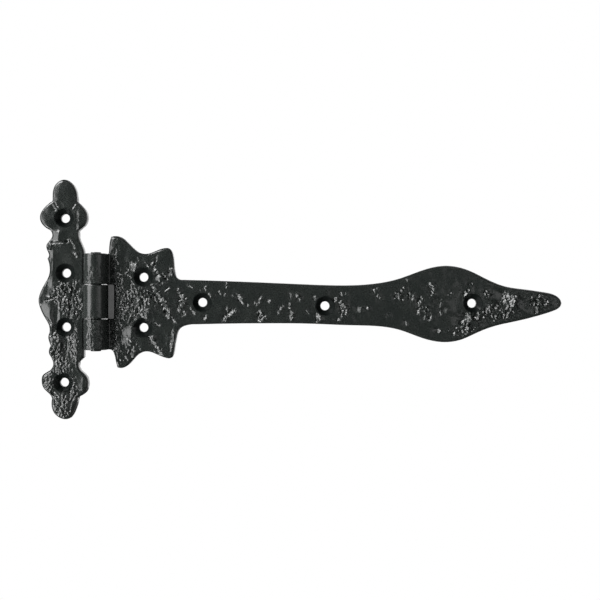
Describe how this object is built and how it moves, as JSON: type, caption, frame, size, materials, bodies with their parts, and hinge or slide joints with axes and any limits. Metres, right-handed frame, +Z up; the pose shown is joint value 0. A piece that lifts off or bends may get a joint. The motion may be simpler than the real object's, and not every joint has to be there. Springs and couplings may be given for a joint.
{
  "type": "strap hinge",
  "caption": "Surface-mounted cast strap hinge: a trefoil-ended butt plate and a long spear-tipped strap that turn on a pin in a three-knuckle barrel.",
  "frame": {"origin": "on the plane that the plates' backs lie on, straight behind the middle of the pin", "axes": "as hung on a flush door: +X along the closed strap to its tip, +Y into the wall, +Z up along the pin"},
  "size_m": [0.305, 0.014, 0.1397],
  "materials": {
    "frame_casting": "hammered casting under satin-gloss black paint",
    "strap_casting": "hammered casting under satin-gloss black paint",
    "pin": "plain steel pin, painted black with the castings"
  },
  "bodies": {
    "frame_side": {"frame_plate": "frame_casting"},
    "door_side": {"strap": "strap_casting", "hinge_pin": "pin"}
  },
  "joints": [
    {"name": "door_swing", "type": "hinge", "parent": "frame_side", "child": "door_side", "pos_m": [0, -0.007, 0], "axis": [0, 0, -1], "range_deg": [0, 180]}
  ]
}
